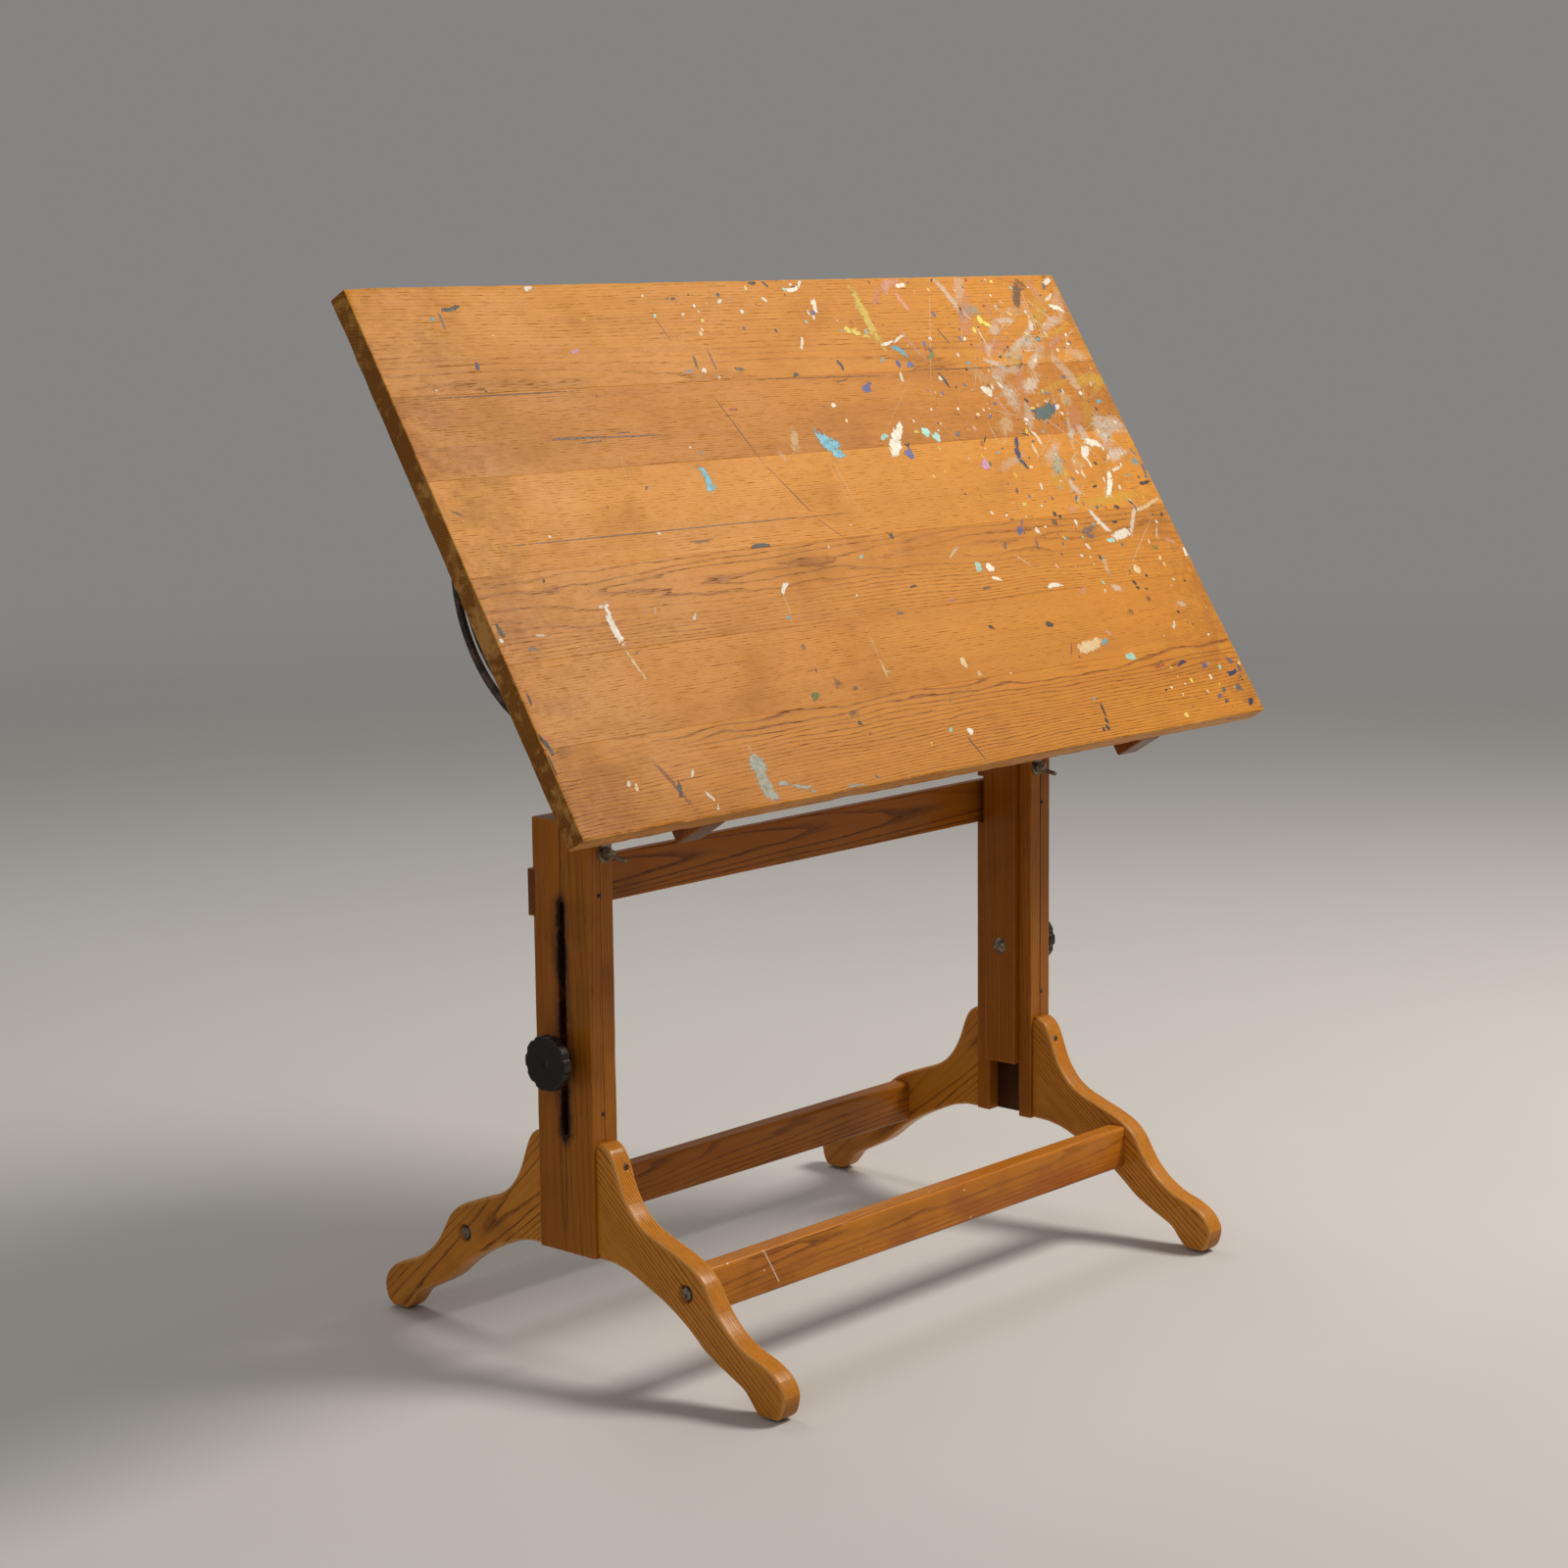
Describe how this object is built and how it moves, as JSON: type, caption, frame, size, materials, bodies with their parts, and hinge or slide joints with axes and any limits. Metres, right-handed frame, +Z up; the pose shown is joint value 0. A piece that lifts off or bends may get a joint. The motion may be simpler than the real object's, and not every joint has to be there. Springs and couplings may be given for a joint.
{
  "type": "drafting table",
  "caption": "Old oak drafting table: a tilting drawing board on sliding posts in slotted uprights, with scrolled trestle legs, stretchers, hand knobs and iron quadrants.",
  "frame": {"origin": "on the floor, under the middle of the table", "axes": "+X along the board to the sitter's right, +Y away from the sitter, +Z up"},
  "size_m": [1.219, 0.6406, 1.2031],
  "materials": {
    "board_oak": "worn satin varnish with spots of old paint",
    "batten_oak": "satin varnish",
    "frame_oak": "satin varnish",
    "leg_oak": "glossy varnish, worn pale at the edges",
    "rail_oak": "satin varnish",
    "dowel_wood": "bare",
    "black_iron": "black paint, matte",
    "aged_steel": "aged, dull",
    "plain_steel": "dull",
    "black_moulding": "worn semi-gloss",
    "bush_brass": "dull"
  },
  "bodies": {
    "base": {"side_board_left": "frame_oak", "side_board_right": "frame_oak", "stile_front_left": "frame_oak", "stile_rear_left": "frame_oak", "stile_front_right": "frame_oak", "stile_rear_right": "frame_oak", "leg_front_left": "leg_oak", "leg_rear_left": "leg_oak", "leg_front_right": "leg_oak", "leg_rear_right": "leg_oak", "stretcher_front": "leg_oak", "stretcher_rear": "leg_oak", "top_rail": "rail_oak", "rail_screws": "plain_steel", "stretcher_bolts": "aged_steel", "stretcher_bolt_washers": "aged_steel", "stretcher_cross_nuts": "plain_steel", "leg_screws": "aged_steel", "leg_dowels": "dowel_wood", "edge_nails": "aged_steel", "foot_glides": "plain_steel", "thumb_screw_inserts": "aged_steel"},
    "lift": {"post_left": "frame_oak", "post_right": "frame_oak", "carriage_bolt_left": "aged_steel", "carriage_bolt_right": "aged_steel", "knob_washers": "plain_steel", "clamp_bolt_left": "aged_steel", "clamp_bolt_right": "aged_steel", "clamp_washers": "aged_steel"},
    "board": {"board_plank_1": "board_oak", "board_plank_2": "board_oak", "board_plank_3": "board_oak", "board_plank_4": "board_oak", "board_plank_5": "board_oak", "board_plank_6": "board_oak", "batten_left": "batten_oak", "batten_right": "batten_oak", "batten_screws": "plain_steel", "quadrant_left": "black_iron", "quadrant_right": "black_iron", "quadrant_screws": "plain_steel"},
    "knob_left": {"knob_left": "black_moulding", "knob_bush_left": "bush_brass"},
    "clamp_nut_left": {"clamp_wing_nut_left": "aged_steel"},
    "thumb_screw_left": {"thumb_screw_left": "aged_steel"},
    "knob_right": {"knob_right": "black_moulding", "knob_bush_right": "bush_brass"},
    "clamp_nut_right": {"clamp_wing_nut_right": "aged_steel"},
    "thumb_screw_right": {"thumb_screw_right": "aged_steel"}
  },
  "joints": [
    {"name": "height", "type": "slide", "parent": "base", "child": "lift", "axis": [0, 0, 1], "range_m": [-0.072, 0.17]},
    {"name": "tilt", "type": "hinge", "parent": "lift", "child": "board", "pos_m": [0, 0, 0.894], "axis": [1, 0, 0], "range_deg": [-58, 12]},
    {"name": "knob_turn_left", "type": "hinge", "parent": "lift", "child": "knob_left", "pos_m": [-0.43, 0, 0.353], "axis": [-1, 0, 0], "continuous": true},
    {"name": "clamp_nut_turn_left", "type": "hinge", "parent": "lift", "child": "clamp_nut_left", "pos_m": [-0.356, 0, 0.707], "axis": [-1, 0, 0], "continuous": true},
    {"name": "thumb_screw_turn_left", "type": "hinge", "parent": "base", "child": "thumb_screw_left", "pos_m": [-0.3875, -0.05, 0.587], "axis": [0, 1, 0], "continuous": true},
    {"name": "knob_turn_right", "type": "hinge", "parent": "lift", "child": "knob_right", "pos_m": [0.43, 0, 0.353], "axis": [1, 0, 0], "continuous": true},
    {"name": "clamp_nut_turn_right", "type": "hinge", "parent": "lift", "child": "clamp_nut_right", "pos_m": [0.356, 0, 0.707], "axis": [1, 0, 0], "continuous": true},
    {"name": "thumb_screw_turn_right", "type": "hinge", "parent": "base", "child": "thumb_screw_right", "pos_m": [0.3875, -0.05, 0.587], "axis": [0, 1, 0], "continuous": true}
  ]
}
